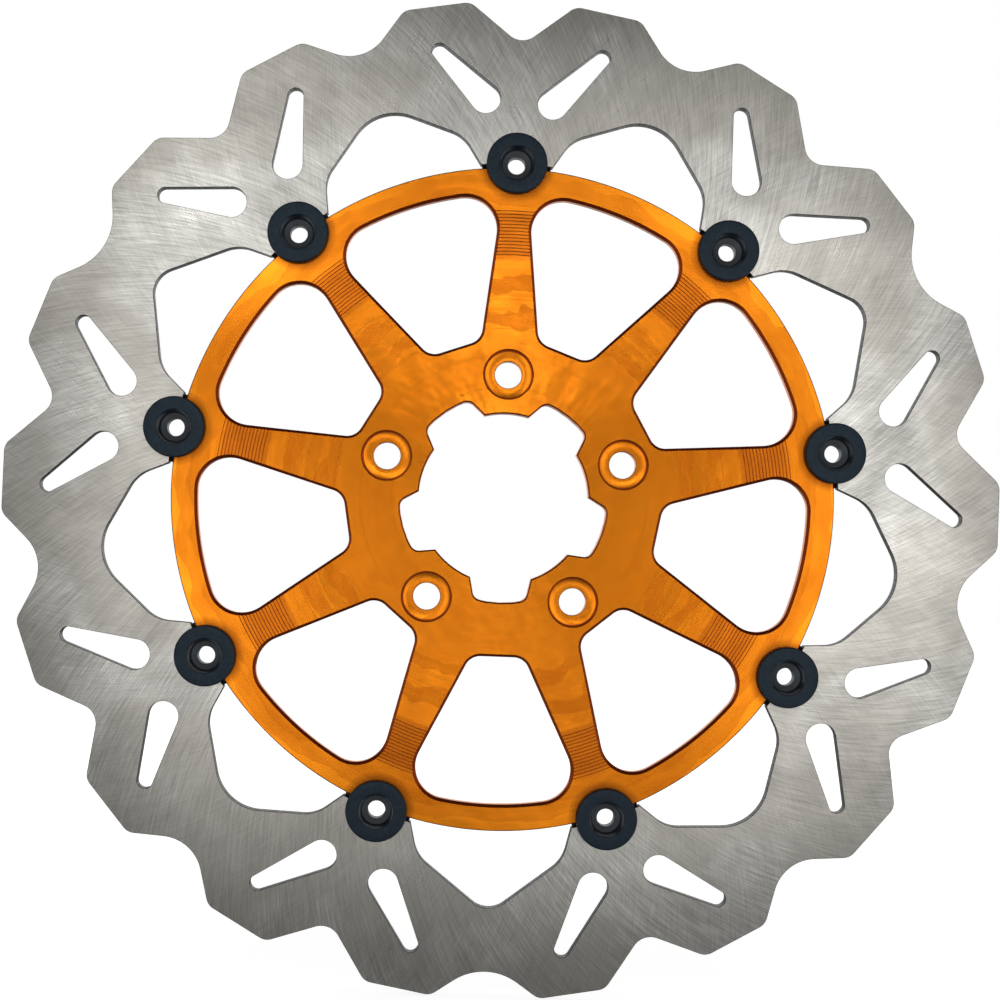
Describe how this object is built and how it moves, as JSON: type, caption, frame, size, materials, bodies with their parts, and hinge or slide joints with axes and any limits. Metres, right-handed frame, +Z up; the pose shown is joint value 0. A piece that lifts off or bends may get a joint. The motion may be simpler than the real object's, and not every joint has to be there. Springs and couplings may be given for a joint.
{
  "type": "brake disc rotor",
  "caption": "Floating motorcycle front brake rotor: scalloped slotted stainless blade held by black bobbins on an orange spoked, dished carrier.",
  "frame": {"origin": "centre of the bolt circle, on the hub's rear mounting face", "axes": "+Y along the rotor axis towards the rear and the wheel, so the bobbin heads face -Y; +Z up through bobbin 1, spoke 1 and bolt hole 1"},
  "size_m": [0.3298, 0.0123, 0.328],
  "materials": {
    "orange_anodised": "satin orange anodised, turned",
    "ground_stainless": "ground in crossing arcs",
    "black_anodised": "satin black hard anodised",
    "black_oxide_steel": "stamped, black oxide",
    "spring_steel": "tempered spring steel",
    "phosphated_steel": "dark phosphated"
  },
  "bodies": {
    "carrier": {"carrier": "orange_anodised", "flat_washer_1": "black_oxide_steel", "flat_washer_2": "black_oxide_steel", "flat_washer_3": "black_oxide_steel", "flat_washer_4": "black_oxide_steel", "flat_washer_5": "black_oxide_steel", "flat_washer_6": "black_oxide_steel", "flat_washer_7": "black_oxide_steel", "flat_washer_8": "black_oxide_steel", "flat_washer_9": "black_oxide_steel"},
    "blade": {"blade": "ground_stainless"},
    "bobbin_1": {"bobbin_1": "black_anodised", "wave_washer_1": "spring_steel", "circlip_1": "phosphated_steel"},
    "bobbin_2": {"bobbin_2": "black_anodised", "wave_washer_2": "spring_steel", "circlip_2": "phosphated_steel"},
    "bobbin_3": {"bobbin_3": "black_anodised", "wave_washer_3": "spring_steel", "circlip_3": "phosphated_steel"},
    "bobbin_4": {"bobbin_4": "black_anodised", "wave_washer_4": "spring_steel", "circlip_4": "phosphated_steel"},
    "bobbin_5": {"bobbin_5": "black_anodised", "wave_washer_5": "spring_steel", "circlip_5": "phosphated_steel"},
    "bobbin_6": {"bobbin_6": "black_anodised", "wave_washer_6": "spring_steel", "circlip_6": "phosphated_steel"},
    "bobbin_7": {"bobbin_7": "black_anodised", "wave_washer_7": "spring_steel", "circlip_7": "phosphated_steel"},
    "bobbin_8": {"bobbin_8": "black_anodised", "wave_washer_8": "spring_steel", "circlip_8": "phosphated_steel"},
    "bobbin_9": {"bobbin_9": "black_anodised", "wave_washer_9": "spring_steel", "circlip_9": "phosphated_steel"}
  },
  "joints": [
    {"name": "blade_float", "type": "slide", "parent": "carrier", "child": "blade", "axis": [0, -1, 0], "range_m": [-0.0002, 0.0002], "stiffness_N_per_m": 200000},
    {"name": "bobbin_1_spin", "type": "hinge", "parent": "carrier", "child": "bobbin_1", "pos_m": [0, -0.0067, 0.1111], "axis": [0, -1, 0], "continuous": true},
    {"name": "bobbin_2_spin", "type": "hinge", "parent": "carrier", "child": "bobbin_2", "pos_m": [-0.07141, -0.0067, 0.08511], "axis": [0, -1, 0], "continuous": true},
    {"name": "bobbin_3_spin", "type": "hinge", "parent": "carrier", "child": "bobbin_3", "pos_m": [-0.10941, -0.0067, 0.01929], "axis": [0, -1, 0], "continuous": true},
    {"name": "bobbin_4_spin", "type": "hinge", "parent": "carrier", "child": "bobbin_4", "pos_m": [-0.09621, -0.0067, -0.05555], "axis": [0, -1, 0], "continuous": true},
    {"name": "bobbin_5_spin", "type": "hinge", "parent": "carrier", "child": "bobbin_5", "pos_m": [-0.038, -0.0067, -0.1044], "axis": [0, -1, 0], "continuous": true},
    {"name": "bobbin_6_spin", "type": "hinge", "parent": "carrier", "child": "bobbin_6", "pos_m": [0.038, -0.0067, -0.1044], "axis": [0, -1, 0], "continuous": true},
    {"name": "bobbin_7_spin", "type": "hinge", "parent": "carrier", "child": "bobbin_7", "pos_m": [0.09621, -0.0067, -0.05555], "axis": [0, -1, 0], "continuous": true},
    {"name": "bobbin_8_spin", "type": "hinge", "parent": "carrier", "child": "bobbin_8", "pos_m": [0.10941, -0.0067, 0.01929], "axis": [0, -1, 0], "continuous": true},
    {"name": "bobbin_9_spin", "type": "hinge", "parent": "carrier", "child": "bobbin_9", "pos_m": [0.07141, -0.0067, 0.08511], "axis": [0, -1, 0], "continuous": true}
  ]
}
